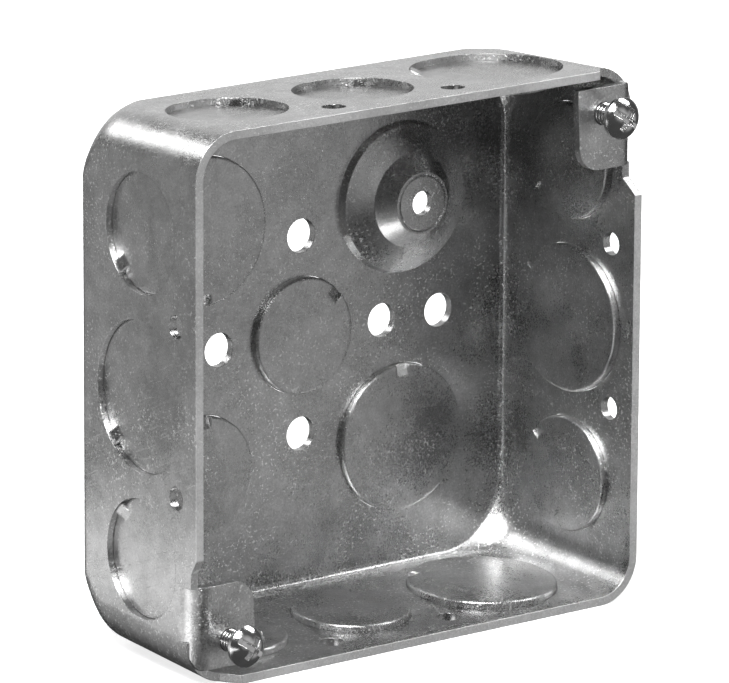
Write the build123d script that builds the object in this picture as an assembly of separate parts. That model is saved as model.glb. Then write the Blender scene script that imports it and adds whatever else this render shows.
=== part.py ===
from build123d import *
from math import asin, atan, cos, degrees, radians, sin
import os

# Four-inch square drawn steel junction box.
# Frame: +X right, +Z up, the open face looks along -Y.
# The origin is the centre of the back wall's outer face, which lies on y = 0.

# ---- driving dimensions, in millimetres ----
BOX_SIDE = 101.6  # 4 in outside at the rim, both ways
BOX_DEPTH = 38.1  # 1 1/2 in
SHEET = 1.6  # sheet thickness
TAPER = 1.6  # each side wall leans in by this much from the rim to the back
CORNER_R = 8.5  # outer radius of the upright corners
BACK_CORNER_R = 18.0  # the corners grow to this radius at the back wall
CORNER_GROWTH = 8.0  # height above the back wall over which they grow
BACK_EDGE_R = 2.8  # outer rounding between the side walls and the back

HALF_INCH_HOLE_R = 11.1  # hole for half-inch conduit, 22.2 mm across
THREE_QUARTER_HOLE_R = 14.1  # hole for three-quarter-inch conduit, 28.2 mm across
KNOCKOUT_Y = -20.4  # centre line of the side-wall knockouts
SIDE_SMALL_Z = 30.0  # height of the small knockouts in the left and right walls
ROW_LEFT_X = -30.9  # places of the three knockouts in the top and bottom walls
ROW_MIDDLE_X = -2.7
ROW_RIGHT_X = 28.1
CORNER_KNOCKOUT_AT = 22.9  # X and Z of the three knockouts in the back's corners
SLUG_GAP = 0.1  # shear gap round a knockout slug
SLUG_SET_IN = 1.27  # how far a slug is punched in from the wall
SLUG_EDGE_R = 0.45  # rolled edge on the slug's inner face
TIE_WIDTH = 2.7  # the one strip of metal that still holds a slug
TIE_RUN = 2.3  # length of the ramp from the slug to its tie
TIE_SKIN = 0.1  # the tie lies this far under the wall's outer face

WALL_HOLE_R = 3.2  # screw holes in the back wall
WALL_HOLE_RADIUS = 18.8  # their distance from the centre
OUTER_WALL_HOLE_X = 32.1  # the outer pair on the middle line
NAIL_HOLE_R = 2.2  # nail holes near the rim
NAIL_HOLE_Y = -31.7
NAIL_HOLE_Z = 15.7  # on the left and right walls, above and below the middle
NAIL_ROW_SHIFT = 0.45  # the right wall's pair sits this much higher, the left wall's lower
NAIL_HOLE_LEFT_X = -15.6  # on the top and bottom walls
NAIL_HOLE_RIGHT_X = 11.4

EAR_ROOT_Z = 32.0  # where the ear starts, along its wall
EAR_END_Z = 47.4
EAR_TIP_X = 36.5  # free edge of the ear
EAR_TIP_LEAN = 0.8  # the free edge leans by this much
EAR_SET_BACK = 1.3  # front face of the ear below the rim
EAR_BEND_R = 4.2  # outer bend radius
EAR_CORNER_R = 4.5  # rounding of its free corner, on the root side
EAR_OVERLAP = 1.0  # how far the ear's strip runs on into its wall
UPPER_NOTCH_DEPTH = 3.6  # relief notch beside each ear
LOWER_NOTCH_DEPTH = 1.7
NOTCH_START_Z = 26.4
NOTCH_FLOOR_Z = 29.2
NOTCH_CORNER_R = 1.2
CORNER_CUT_DEPTH = 3.3  # the corner beyond the ear is cut back from the rim
CORNER_CUT_START_X = 40.5
CORNER_CUT_FLOOR_X = 43.3

SCREW_AT = 42.5  # cover screws lie on this X and Z, 85 mm apart each way
SCREW_MAJOR_R = 2.05  # number 8-32 thread
SCREW_MINOR_R = 1.62
SCREW_PITCH = 0.794
SCREW_LENGTH = 9.5  # 3/8 in under the head
SCREW_TIP_CHAMFER = 0.4
SCREW_HOLE_R = 2.15
THREAD_PLAIN_END = 0.6  # plain length at each end of the thread
THREAD_FLANK = 0.35  # length of the ridge's first flank
THREAD_CREST = 0.1
HEAD_R = 3.9
HEAD_HEIGHT = 2.9
HEAD_RIM = 0.9  # straight part of the head's side
HEAD_DRAFT = 0.15
HEAD_STAND_OFF = 4.5  # gap between ear and head
SLOT_WIDTH = 1.1
SLOT_DEPTH = 1.15
CROSS_LENGTH = 4.4
CROSS_DEPTH = 1.8
RECESS_TURN = 35  # degrees

GROUND_AT = 23.0  # X and Z of the raised ground-screw seat
GROUND_HOLE_R = 2.3  # number 10-32 tapped hole
GROUND_RING_R = 5.25  # pressed ring round that hole
GROUND_RING_WIDTH = 0.5
GROUND_RING_DEPTH = 0.2
SEAT_R = 15.2  # edge of the seat's flange
SEAT_OPENING_R = 14.8  # what is taken out of the back wall for the seat
SEAT_TOP = 8.3  # height of the flat top above the back's outer face
SEAT_TOP_UNDERSIDE = 6.8
# Radius and height along the seat's inner face, then its outer face, from the edge inward.
SEAT_INNER_FACE = [(14.4, SHEET), (13.9, 3.1), (8.8, 5.2), (5.9, SEAT_TOP)]
SEAT_OUTER_FACE = [(13.5, 0), (12.9, 1.9), (7.9, 3.9), (4.9, SEAT_TOP_UNDERSIDE)]

CLEAR = 2.0  # how far a cutting shape runs past what it cuts
CUTTER_LENGTH = 10.0  # cylinders that pierce one wall, and the column that trims a tie
HALF = BOX_SIDE / 2
RIM_Y = -BOX_DEPTH
LEAN = atan(TAPER / BOX_DEPTH)
EAR_FACE_Y = RIM_Y + EAR_SET_BACK

# Direction out of the box, square to each wall.
OUTWARD = {
    "left": (-BOX_DEPTH, TAPER, 0),
    "right": (BOX_DEPTH, TAPER, 0),
    "top": (0, TAPER, BOX_DEPTH),
    "bottom": (0, TAPER, -BOX_DEPTH),
    "back": (0, 1, 0),
}

# Each knockout: wall, place along the wall, second coordinate (Y, but Z on the back wall),
# hole radius and the rough direction of its tie.
SMALL = HALF_INCH_HOLE_R
LARGE = THREE_QUARTER_HOLE_R
CORNER = CORNER_KNOCKOUT_AT
KNOCKOUTS = {
    "knockout_left_upper": ("left", SIDE_SMALL_Z, KNOCKOUT_Y, SMALL, (0, 1, -1)),
    "knockout_left_middle": ("left", 0, KNOCKOUT_Y, LARGE, (0, 1, -1)),
    "knockout_left_lower": ("left", -SIDE_SMALL_Z, KNOCKOUT_Y, SMALL, (0, 1, 1)),
    "knockout_right_upper": ("right", SIDE_SMALL_Z, KNOCKOUT_Y, SMALL, (0, 1, -1)),
    "knockout_right_middle": ("right", 0, KNOCKOUT_Y, LARGE, (0, 1, 1)),
    "knockout_right_lower": ("right", -SIDE_SMALL_Z, KNOCKOUT_Y, SMALL, (0, 1, 1)),
    "knockout_top_left": ("top", ROW_LEFT_X, KNOCKOUT_Y, SMALL, (1, 1, 0)),
    "knockout_top_middle": ("top", ROW_MIDDLE_X, KNOCKOUT_Y, SMALL, (1, 1, 0)),
    "knockout_top_right": ("top", ROW_RIGHT_X, KNOCKOUT_Y, LARGE, (-1, 1, 0)),
    "knockout_bottom_left": ("bottom", ROW_LEFT_X, KNOCKOUT_Y, SMALL, (1, 1, 0)),
    "knockout_bottom_middle": ("bottom", ROW_MIDDLE_X, KNOCKOUT_Y, SMALL, (1, 1, 0)),
    "knockout_bottom_right": ("bottom", ROW_RIGHT_X, KNOCKOUT_Y, LARGE, (-1, 1, 0)),
    "knockout_back_centre": ("back", 0, 0, SMALL, (1, 0, 1)),
    "knockout_back_upper_left": ("back", -CORNER, CORNER, LARGE, (0, 0, -1)),
    "knockout_back_lower_left": ("back", -CORNER, -CORNER, SMALL, (0, 0, 1)),
    "knockout_back_lower_right": ("back", CORNER, -CORNER, LARGE, (0, 0, 1)),
}


def half_width(y):
    """Half the box's outer width at this depth."""
    return HALF - TAPER * (y - RIM_Y) / BOX_DEPTH


def on_wall(wall, along, second):
    """Point on a wall's outer face. The second coordinate is Y, but Z on the back wall."""
    half = half_width(second)
    return {
        "left": (-half, second, along),
        "right": (half, second, along),
        "top": (along, second, half),
        "bottom": (along, second, -half),
        "back": (along, 0, second),
    }[wall]


def section(y, inset, corner_r):
    """Rounded square across the box at this depth."""
    width = 2 * (half_width(y) - inset)
    return Plane(origin=(0, y, 0), x_dir=(1, 0, 0), z_dir=(0, -1, 0)) * RectangleRounded(
        width, width, corner_r
    )


def drawn_block(inset):
    """Tapered block whose corners grow rounder near the back, inset from the outer faces."""
    corner_r = CORNER_R - inset
    back_y = -inset
    height = CORNER_GROWTH + back_y
    sections = []
    for share in (0, 1 / 3, 2 / 3, 1):
        growth = (BACK_CORNER_R - CORNER_R) * (1 - share) ** 2
        sections.append(section(back_y - share * height, inset, corner_r + growth))
    start = section(-CORNER_GROWTH, inset, corner_r)
    rim = section(RIM_Y, inset, corner_r)
    block = loft(sections) + loft([start, rim], ruled=True)
    back_edges = block.faces().sort_by(Axis.Y)[-1].edges()
    return block.fillet(BACK_EDGE_R - inset, back_edges)


def hole_through(centre, direction, radius):
    """Cylinder that pierces one wall."""
    return Plane(origin=centre, z_dir=direction) * Cylinder(radius, CUTTER_LENGTH)


def ear():
    """Upper-right ear: a tongue bent inward from the right wall, with its screw hole."""
    centre_y = EAR_FACE_Y + EAR_BEND_R
    wall_y = centre_y + EAR_BEND_R * sin(LEAN)
    centre_x = half_width(wall_y) - EAR_BEND_R * cos(LEAN)
    inner_r = EAR_BEND_R - SHEET * cos(LEAN)
    inner_wall_y = centre_y + inner_r * sin(LEAN)
    inner_face_y = centre_y - inner_r
    root_y = wall_y + EAR_OVERLAP
    tip_x = EAR_TIP_X - CLEAR
    lean_degrees = degrees(LEAN)
    with BuildSketch() as profile:
        with BuildLine():
            Line((half_width(root_y), root_y), (half_width(wall_y), wall_y))
            CenterArc((centre_x, centre_y), EAR_BEND_R, lean_degrees, -90 - lean_degrees)
            Polyline(
                (centre_x, EAR_FACE_Y),
                (tip_x, EAR_FACE_Y),
                (tip_x, inner_face_y),
                (centre_x, inner_face_y),
            )
            CenterArc((centre_x, centre_y), inner_r, -90, 90 + lean_degrees)
            Polyline(
                (half_width(inner_wall_y) - SHEET, inner_wall_y),
                (half_width(root_y) - SHEET, root_y),
                (half_width(root_y), root_y),
            )
        make_face()
    strip = Pos(0, 0, EAR_ROOT_Z) * extrude(profile.sketch, EAR_END_Z - EAR_ROOT_Z)

    # The tongue's outline seen from the front, with one round corner.
    with BuildSketch(Plane.XZ) as outline:
        with BuildLine():
            Polyline(
                (HALF + CLEAR, EAR_ROOT_Z),
                (EAR_TIP_X + EAR_TIP_LEAN, EAR_ROOT_Z),
                (EAR_TIP_X, EAR_END_Z),
                (HALF + CLEAR, EAR_END_Z),
                close=True,
            )
        make_face()
        free_corner = outline.vertices().sort_by(Axis.X)[:2].sort_by(Axis.Y)[0]
        fillet(free_corner, EAR_CORNER_R)
    front = extrude(outline.sketch, BOX_DEPTH + CLEAR)
    width = 2 * half_width(wall_y)
    rim_square = Plane.XZ * RectangleRounded(width, width, CORNER_R)
    inside_rim = extrude(rim_square, BOX_DEPTH + CLEAR)
    hole_at = (SCREW_AT, EAR_FACE_Y, SCREW_AT)
    return (strip & front & inside_rim) - hole_through(hole_at, (0, 1, 0), SCREW_HOLE_R)


def ear_clearance(notch_depth):
    """What is cut from the upper-right corner of the rim before the ear goes on."""
    bend_y = EAR_FACE_Y + EAR_BEND_R * (1 + sin(LEAN))
    notch_y = RIM_Y + notch_depth
    corner_y = RIM_Y + CORNER_CUT_DEPTH
    ahead = RIM_Y - CLEAR
    beyond = HALF + CLEAR
    flat_end = HALF - CORNER_R
    side_outline = Polyline(
        (flat_end, ahead, NOTCH_START_Z),
        (flat_end, RIM_Y, NOTCH_START_Z),
        (flat_end, notch_y, NOTCH_FLOOR_Z),
        (flat_end, notch_y, EAR_ROOT_Z),
        (flat_end, bend_y, EAR_ROOT_Z),
        (flat_end, bend_y, flat_end),
        (flat_end, corner_y, flat_end),
        (flat_end, corner_y, EAR_END_Z),
        (flat_end, ahead, EAR_END_Z),
        close=True,
    )
    side_face = make_face(side_outline).face()
    floor_start = side_face.vertices().sort_by_distance((flat_end, notch_y, NOTCH_FLOOR_Z))[0]
    side_face = side_face.fillet_2d(NOTCH_CORNER_R, [floor_start])
    side_cut = extrude(side_face, CORNER_R + CLEAR, dir=(1, 0, 0))
    corner_outline = Polyline(
        (CORNER_CUT_START_X, ahead, EAR_END_Z),
        (CORNER_CUT_START_X, RIM_Y, EAR_END_Z),
        (CORNER_CUT_FLOOR_X, corner_y, EAR_END_Z),
        (beyond, corner_y, EAR_END_Z),
        (beyond, ahead, EAR_END_Z),
        close=True,
    )
    corner_cut = extrude(make_face(corner_outline), beyond - EAR_END_Z, dir=(0, 0, 1))
    return side_cut + corner_cut


def ground_seat():
    """Raised seat for the ground screw: a step, a dish, a steep cone and a flat top."""
    ring_half = GROUND_RING_WIDTH / 2
    ring = [
        (GROUND_RING_R + ring_half, SEAT_TOP),
        (GROUND_RING_R, SEAT_TOP - GROUND_RING_DEPTH),
        (GROUND_RING_R - ring_half, SEAT_TOP),
    ]
    hole = [(GROUND_HOLE_R, SEAT_TOP), (GROUND_HOLE_R, SEAT_TOP_UNDERSIDE)]
    inner = [(SEAT_R, SHEET)] + SEAT_INNER_FACE + ring
    outer = list(reversed(SEAT_OUTER_FACE)) + [(SEAT_R, 0)]
    half_section = make_face(Polyline(*[(r, -h) for r, h in inner + hole + outer], close=True))
    return Pos(GROUND_AT, 0, GROUND_AT) * revolve(half_section, Axis.Y)


def back_wall_holes():
    """Centres of the round screw holes in the back wall."""
    turns = [radians(90 * step) for step in range(4)]
    ring = [(WALL_HOLE_RADIUS * cos(turn), 0, WALL_HOLE_RADIUS * sin(turn)) for turn in turns]
    return ring + [(OUTER_WALL_HOLE_X, 0, 0), (-OUTER_WALL_HOLE_X, 0, 0)]


def nail_holes():
    """Centre and direction of each small hole near the rim."""
    holes = []
    for sign, side, level in ((-1, "left", "bottom"), (1, "right", "top")):
        for z in (-NAIL_HOLE_Z, NAIL_HOLE_Z):
            centre = on_wall(side, z + sign * NAIL_ROW_SHIFT, NAIL_HOLE_Y)
            holes.append((centre, (1, 0, 0)))
        for x in (NAIL_HOLE_LEFT_X, NAIL_HOLE_RIGHT_X):
            holes.append((on_wall(level, x, NAIL_HOLE_Y), (0, 0, 1)))
    return holes


def box_shell():
    shell = drawn_block(0) - drawn_block(SHEET)

    turned = Rot(0, 180, 0)  # the second ear is the first turned half a turn about Y
    for place, notch_depth in ((Rot(0, 0, 0), UPPER_NOTCH_DEPTH), (turned, LOWER_NOTCH_DEPTH)):
        shell = shell - place * ear_clearance(notch_depth)
        shell = shell + place * ear()

    shell -= hole_through((GROUND_AT, 0, GROUND_AT), (0, 1, 0), SEAT_OPENING_R)
    shell += ground_seat()

    for wall, along, second, radius, _ in KNOCKOUTS.values():
        shell -= hole_through(on_wall(wall, along, second), OUTWARD[wall], radius)
    for centre in back_wall_holes():
        shell -= hole_through(centre, (0, 1, 0), WALL_HOLE_R)
    for centre, direction in nail_holes():
        shell -= hole_through(centre, direction, NAIL_HOLE_R)
    return shell


def knockout(wall, along, second, hole_r, tie):
    """Punched slug. In its own plane +X points at the tie and +Z out of the box."""
    radius = hole_r - SLUG_GAP
    disc = Pos(0, 0, -SLUG_SET_IN) * Cylinder(
        radius, SHEET, align=(Align.CENTER, Align.CENTER, Align.MAX)
    )
    inner_edge = disc.edges().sort_by(Axis.Z)[0]
    disc = disc.fillet(SLUG_EDGE_R, [inner_edge])

    # At the tie the sheet ramps from the slug's level up to the wall's level.
    start = radius - TIE_RUN
    rise = SLUG_SET_IN - TIE_SKIN
    column = Cylinder(radius, CUTTER_LENGTH)
    added = ramp(start, radius, -SLUG_SET_IN, rise) & column
    longer = (TIE_RUN + CLEAR) / TIE_RUN
    removed = ramp(start, radius + CLEAR, -SLUG_SET_IN - SHEET, rise * longer)
    slug = (disc - removed) + added
    return Plane(origin=on_wall(wall, along, second), x_dir=tie, z_dir=OUTWARD[wall]) * slug


def ramp(start, end, level, rise):
    """Wedge as wide as the tie, rising from level at start."""
    outline = Polyline((start, 0, level), (end, 0, level), (end, 0, level + rise), close=True)
    wedge = extrude(make_face(outline), TIE_WIDTH, dir=(0, 1, 0))
    return Pos(0, -TIE_WIDTH / 2, 0) * wedge


def cover_screw(side):
    """Round-head screw, backed out of its ear. Its head looks along -Y."""
    under_head = EAR_FACE_Y - HEAD_STAND_OFF
    tip = under_head + SCREW_LENGTH
    crown = under_head - HEAD_HEIGHT
    rim = under_head - HEAD_RIM

    thread = []
    y = under_head + THREAD_PLAIN_END
    while y + SCREW_PITCH < tip - THREAD_PLAIN_END:
        crest = y + THREAD_FLANK
        thread += [(SCREW_MINOR_R, y), (SCREW_MAJOR_R, crest), (SCREW_MAJOR_R, crest + THREAD_CREST)]
        y += SCREW_PITCH
    with BuildSketch() as profile:
        with BuildLine():
            Line((0, crown), (0, tip))
            Polyline(
                (0, tip),
                (SCREW_MINOR_R - SCREW_TIP_CHAMFER, tip),
                (SCREW_MINOR_R, tip - SCREW_TIP_CHAMFER),
                *reversed(thread),
                (SCREW_MINOR_R, under_head),
                (HEAD_R - HEAD_DRAFT, under_head),
                (HEAD_R, rim),
            )
            ThreePointArc((HEAD_R, rim), dome_point(rim, crown), (0, crown))
        make_face()
    body = revolve(profile.sketch, Axis.Y)

    slot = Box(2 * HEAD_R + CLEAR, 2 * SLOT_DEPTH, SLOT_WIDTH)
    cross = Box(SLOT_WIDTH, 2 * CROSS_DEPTH, CROSS_LENGTH)
    short_arm = Box(CROSS_LENGTH, 2 * CROSS_DEPTH, SLOT_WIDTH)
    recess = Pos(0, crown, 0) * Rot(0, RECESS_TURN, 0) * (slot + cross + short_arm)
    return Pos(side * SCREW_AT, 0, side * SCREW_AT) * (body - recess)


def dome_point(rim, crown):
    """Middle point of the round head's arc, from its side to its crown."""
    height = rim - crown
    dome_r = (HEAD_R**2 + height**2) / (2 * height)
    half_angle = asin(HEAD_R / dome_r) / 2
    return (dome_r * sin(half_angle), crown + dome_r * (1 - cos(half_angle)))


def write(name, shape):
    export_step(shape, "parts/" + name + ".step")
    print(name, round(shape.volume, 1), len(shape.solids()))


os.makedirs("parts", exist_ok=True)
write("box_shell", box_shell())
for name, (wall, along, second, hole_r, tie) in KNOCKOUTS.items():
    write(name, knockout(wall, along, second, hole_r, tie))
write("cover_screw_upper_right", cover_screw(1))
write("cover_screw_lower_left", cover_screw(-1))
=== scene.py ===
from math import cos, radians, sin

import bpy
from mathutils import Matrix, Vector


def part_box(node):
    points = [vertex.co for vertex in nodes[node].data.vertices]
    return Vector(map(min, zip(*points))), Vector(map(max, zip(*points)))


MM = 0.001

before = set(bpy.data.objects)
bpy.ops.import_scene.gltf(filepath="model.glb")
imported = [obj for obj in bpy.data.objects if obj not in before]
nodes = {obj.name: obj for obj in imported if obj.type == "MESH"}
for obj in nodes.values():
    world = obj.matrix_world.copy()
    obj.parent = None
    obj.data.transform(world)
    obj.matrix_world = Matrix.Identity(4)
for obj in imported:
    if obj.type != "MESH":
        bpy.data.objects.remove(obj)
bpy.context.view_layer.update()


# ---------------------------------------------------------------- node helpers
class Shader:
    """A node tree, with short calls for the nodes that it needs."""

    def __init__(self, tree, coords):
        self.tree = tree
        self.place = tree.nodes.new("ShaderNodeTexCoord").outputs[coords]

    def node(self, kind, inputs=None, **settings):
        made = self.tree.nodes.new(kind)
        for key, value in settings.items():
            setattr(made, key, value)
        for key, value in (inputs or {}).items():
            self.put(made.inputs[key], value)
        return made

    def put(self, socket, value):
        if isinstance(value, bpy.types.NodeSocket):
            self.tree.links.new(value, socket)
        else:
            socket.default_value = value

    def stretched(self, scale, turn=(0, 0, 0)):
        """Coordinates turned and then scaled differently along each axis."""
        turned = self.node("ShaderNodeMapping", {"Vector": self.place, "Rotation": turn})
        scaled = self.node("ShaderNodeMapping", {"Vector": turned.outputs["Vector"], "Scale": scale})
        return scaled.outputs["Vector"]

    def noise(self, scale, detail=3.0, rough=0.5, vector=None):
        made = self.node(
            "ShaderNodeTexNoise",
            {"Vector": vector or self.place, "Scale": scale, "Detail": detail, "Roughness": rough},
        )
        return made.outputs["Fac"]

    def span(self, value, low, high, new_low=0.0, new_high=1.0):
        made = self.node(
            "ShaderNodeMapRange",
            {"Value": value, "From Min": low, "From Max": high, "To Min": new_low, "To Max": new_high},
            interpolation_type="SMOOTHSTEP",
        )
        return made.outputs["Result"]

    def math(self, operation, a, b=0.0):
        made = self.node("ShaderNodeMath", {0: a, 1: b}, operation=operation)
        return made.outputs["Value"]

    def add(self, a, b):
        return self.math("ADD", a, b)

    def times(self, a, b):
        return self.math("MULTIPLY", a, b)

    def along(self, direction):
        """The coordinates' component along a direction."""
        made = self.node("ShaderNodeVectorMath", {0: self.place, 1: direction}, operation="DOT_PRODUCT")
        return made.outputs["Value"]

    def grey(self, value):
        made = self.node("ShaderNodeCombineColor", {0: value, 1: value, 2: value})
        return made.outputs["Color"]

    def bump(self, height, distance, strength, normal):
        made = self.node(
            "ShaderNodeBump",
            {"Height": height, "Distance": distance, "Strength": strength, "Normal": normal},
        )
        return made.outputs["Normal"]

    def bevel(self, radius):
        return self.node("ShaderNodeBevel", {"Radius": radius}, samples=6).outputs["Normal"]


def new_material(name):
    """A material with its node calls and its shader."""
    material = bpy.data.materials.new(name)
    material.use_nodes = True
    return material, Shader(material.node_tree, "Object"), material.node_tree.nodes["Principled BSDF"]


# ---------------------------------------------------------------- materials
RIM_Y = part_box("box_shell")[0].y  # the sheared edge of the open face
SHEET_ROUGHNESS = 0.25
SHEET_RELIEF = 0.05 * MM
SHEET_EDGE = 0.2 * MM  # how far the shading rounds the sheet's edges
SLUG_EDGE = 0.7 * MM
SCREW_RELIEF = 0.012 * MM
SCREW_EDGE = 0.2 * MM
PAPER_GLOW = 0.75


def galvanised(name, tone, speckle, edge):
    """Zinc-coated sheet: cloudy tone, bright fine specks, drawing scratches, and a painted highlight
    that makes the sheared rim paler; the rim is also rougher.
    """
    material, s, bsdf = new_material(name)
    clouds = s.noise(48.0, 4.0, 0.6)
    patches = s.noise(330.0, 3.0, 0.6)
    grain = s.noise(2900.0, 3.0, 0.7)
    cluster = s.span(s.noise(70.0, 3.0, 0.6), 0.42, 0.62, 0.25, 1.0)
    specks = s.times(s.span(s.noise(2000.0, 1.0, 0.5), 0.6, 0.7), cluster)
    slanting = s.stretched((2400.0, 70.0, 2400.0), (0.45, 0.3, 0.1))
    slanting_scratches = s.span(s.noise(1.0, 3.0, 0.7, slanting), 0.57, 0.72)
    upright = s.stretched((1700.0, 1700.0, 50.0), (0.2, -0.5, 0.4))
    upright_scratches = s.span(s.noise(1.0, 2.0, 0.6, upright), 0.6, 0.76)
    scratches = s.add(slanting_scratches, s.times(upright_scratches, 0.6))
    # Painted highlight: the band along the sheared rim of the open face is made paler here, and it is
    # also made rougher below.
    painted_highlight_rim = s.span(s.along((0, 1, 0)), RIM_Y + 0.05 * MM, RIM_Y + 0.25 * MM, 1.0, 0.0)

    value = s.times(s.span(clouds, 0.3, 0.7, 0.84, 1.16), tone)
    value = s.times(value, s.span(patches, 0.3, 0.7, 0.9, 1.1))
    value = s.times(value, s.span(grain, 0.3, 0.7, 0.84, 1.16))
    value = s.add(value, s.times(specks, 0.6 * speckle))
    value = s.add(value, s.times(scratches, 0.06))
    # Painted highlight on the sheared rim.
    value = s.add(value, s.times(painted_highlight_rim, 0.35))
    s.put(bsdf.inputs["Base Color"], s.grey(value))
    s.put(bsdf.inputs["Metallic"], 1.0)

    rough = s.span(clouds, 0.3, 0.7, SHEET_ROUGHNESS - 0.05, SHEET_ROUGHNESS + 0.06)
    rough = s.add(rough, s.span(grain, 0.3, 0.7, 0.0, 0.08))
    rough = s.add(rough, s.times(specks, 0.1))
    rough = s.add(rough, s.times(painted_highlight_rim, 0.15))
    s.put(bsdf.inputs["Roughness"], rough)

    relief = s.add(s.times(grain, 0.45), s.times(patches, 0.9))
    relief = s.add(relief, s.times(specks, 0.8))
    relief = s.add(relief, s.times(scratches, -0.4))
    s.put(bsdf.inputs["Normal"], s.bump(relief, SHEET_RELIEF, 0.8, s.bevel(edge)))
    return material


def bright_zinc(name):
    """Plated screw: brighter and smoother than the sheet."""
    material, s, bsdf = new_material(name)
    clouds = s.noise(300.0, 3.0, 0.5)
    grain = s.noise(3200.0, 2.0, 0.6)
    s.put(bsdf.inputs["Base Color"], s.grey(s.span(clouds, 0.3, 0.7, 0.74, 0.9)))
    s.put(bsdf.inputs["Metallic"], 1.0)
    s.put(bsdf.inputs["Roughness"], s.span(grain, 0.3, 0.7, 0.1, 0.2))
    s.put(bsdf.inputs["Normal"], s.bump(grain, SCREW_RELIEF, 0.5, s.bevel(SCREW_EDGE)))
    return material


def floor_paper():
    """Pale matt paper that glows, which keeps the shadows on it faint."""
    material, s, bsdf = new_material("floor_paper")
    s.put(bsdf.inputs["Base Color"], s.grey(s.span(s.noise(30.0), 0.3, 0.7, 0.86, 0.88)))
    s.put(bsdf.inputs["Roughness"], 0.9)
    s.put(bsdf.inputs["Emission Color"], (1, 1, 1, 1))
    s.put(bsdf.inputs["Emission Strength"], PAPER_GLOW)
    return material


def paint(obj, material):
    obj.data.materials.clear()
    obj.data.materials.append(material)


def paint_nodes():
    sheet = galvanised("galvanised_sheet", 0.52, 1.0, SHEET_EDGE)
    slug_sheet = galvanised("knockout_sheet", 0.5, 0.7, SLUG_EDGE)
    zinc = bright_zinc("zinc_screw")
    for name, obj in nodes.items():
        if name == "box_shell":
            paint(obj, sheet)
        elif name.startswith("knockout"):
            paint(obj, slug_sheet)
        else:
            paint(obj, zinc)


# ---------------------------------------------------------------- camera
CAMERA_AZIMUTH = radians(37.69)  # the camera stands this far to the left of the open face
CAMERA_ELEVATION = radians(14.34)
CAMERA_ROLL = radians(0.29)
CAMERA_DISTANCE = 1.373
CAMERA_LENS = 367.9
SENSOR_WIDTH = 36.0
CAMERA_TARGET = Vector((9.65, -8.3, -1.33)) * MM


def add_camera():
    data = bpy.data.cameras.new("camera")
    data.lens = CAMERA_LENS
    data.sensor_width = SENSOR_WIDTH
    data.clip_start = 0.01
    camera = bpy.data.objects.new("camera", data)
    bpy.context.scene.collection.objects.link(camera)
    level = cos(CAMERA_ELEVATION)
    looking = Vector((sin(CAMERA_AZIMUTH) * level, cos(CAMERA_AZIMUTH) * level, -sin(CAMERA_ELEVATION)))
    turn = looking.to_track_quat("-Z", "Y").to_matrix().to_4x4()
    camera.matrix_world = (
        Matrix.Translation(CAMERA_TARGET - looking * CAMERA_DISTANCE)
        @ turn
        @ Matrix.Rotation(CAMERA_ROLL, 4, "Z")
    )
    bpy.context.scene.camera = camera


# ---------------------------------------------------------------- stage and light
FLOOR_REACH = 6.0
BACKDROP_HEIGHT = 8.0


def add_stage(name, points, faces):
    """Paper surface that the camera sees and the metal doesn't reflect."""
    mesh = bpy.data.meshes.new(name)
    mesh.from_pydata(points, [], faces)
    surface = bpy.data.objects.new(name, mesh)
    bpy.context.scene.collection.objects.link(surface)
    paint(surface, floor_paper())
    surface.visible_glossy = False
    return surface


def add_floor_and_backdrop():
    """Floor under the box, and four upright sides that neither light the box nor shade it."""
    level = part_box("box_shell")[0].z
    reach = FLOOR_REACH
    corners = [(-reach, -reach), (reach, -reach), (reach, reach), (-reach, reach)]
    low = [(x, y, level) for x, y in corners]
    high = [(x, y, level + BACKDROP_HEIGHT) for x, y in corners]
    add_stage("floor", low, [(0, 1, 2, 3)])
    sides = [(i, (i + 1) % 4, 4 + (i + 1) % 4, 4 + i) for i in range(4)]
    backdrop = add_stage("backdrop", low + high, sides)
    backdrop.visible_diffuse = False
    backdrop.visible_shadow = False


BOX_MIDDLE = Vector((0, -0.02, 0))  # to about a millimetre
SOFTBOX_DISTANCE = 1.6
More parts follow.
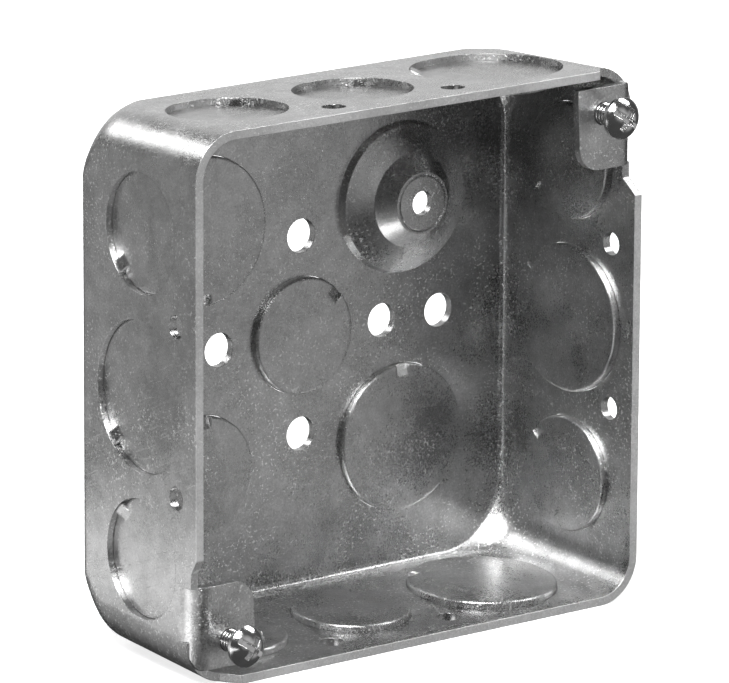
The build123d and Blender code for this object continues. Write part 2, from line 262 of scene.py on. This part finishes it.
# Name, direction from the box, width and height, and power.
SOFTBOXES = [
    ("back_upper_left", (-0.25, 0.77, 0.59), (0.5, 0.8), 5),
    ("upper_front_left", (-0.44, -0.44, 0.78), (0.75, 0.75), 34),
    ("upper_right", (0.59, -0.25, 0.77), (0.45, 0.9), 11),
]
CARD_OFFSET = Vector((-0.03, 0.02, 0.001))  # from the foot of the left wall
CARD_SIZE = (0.03, 0.16)
CARD_POWER = 0.016


def add_light(name, location, rotation, size, power):
    """Area light that the camera doesn't see."""
    data = bpy.data.lights.new(name, "AREA")
    data.shape = "RECTANGLE"
    data.size, data.size_y = size
    data.energy = power
    light = bpy.data.objects.new(name, data)
    bpy.context.scene.collection.objects.link(light)
    light.location = location
    light.rotation_euler = rotation
    light.visible_camera = False


def add_softboxes():
    """Softboxes round the box, each aimed at its middle, in the order of the table."""
    for name, direction, size, power in SOFTBOXES:
        location = BOX_MIDDLE + Vector(direction).normalized() * SOFTBOX_DISTANCE
        rotation = (-Vector(direction)).to_track_quat("-Z", "Y").to_euler()
        add_light(name, location, rotation, size, power)


def add_floor_card():
    """Small upward light on the floor at the foot of the left wall, like a white card."""
    low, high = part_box("box_shell")
    foot = Vector((low.x, (low.y + high.y) / 2, low.z))
    add_light("floor_card_left", foot + CARD_OFFSET, (radians(180), 0, 0), CARD_SIZE, CARD_POWER)


# Bright parts of the room round the box: direction, where its glow starts and is full, and strength.
ROOM_GLOWS = [
    ((-0.95, -0.1, -0.25), 0.9, 0.99, 1.6),
    ((0.59, 0.77, 0.25), 0.78, 0.97, 0.75),
    ((-0.59, 0.77, -0.25), 0.72, 0.95, 0.3),
    ((0.72, -0.65, -0.25), 0.75, 0.97, 0.36),
    ((0.05, -0.96, 0.26), 0.82, 0.98, 0.4),
]
ROOM_BASE = 0.06


def add_room():
    world = bpy.data.worlds.new("studio")
    bpy.context.scene.world = world
    world.use_nodes = True
    s = Shader(world.node_tree, "Generated")
    light = ROOM_BASE
    for direction, start, full, strength in ROOM_GLOWS:
        light = s.add(light, s.span(s.along(Vector(direction).normalized()), start, full, 0.0, strength))
    background = world.node_tree.nodes["Background"]
    s.put(background.inputs["Color"], (1, 1, 1, 1))
    s.put(background.inputs["Strength"], light)


paint_nodes()
add_camera()
add_floor_and_backdrop()
add_room()
add_softboxes()
add_floor_card()
bpy.context.scene.view_settings.view_transform = "Standard"
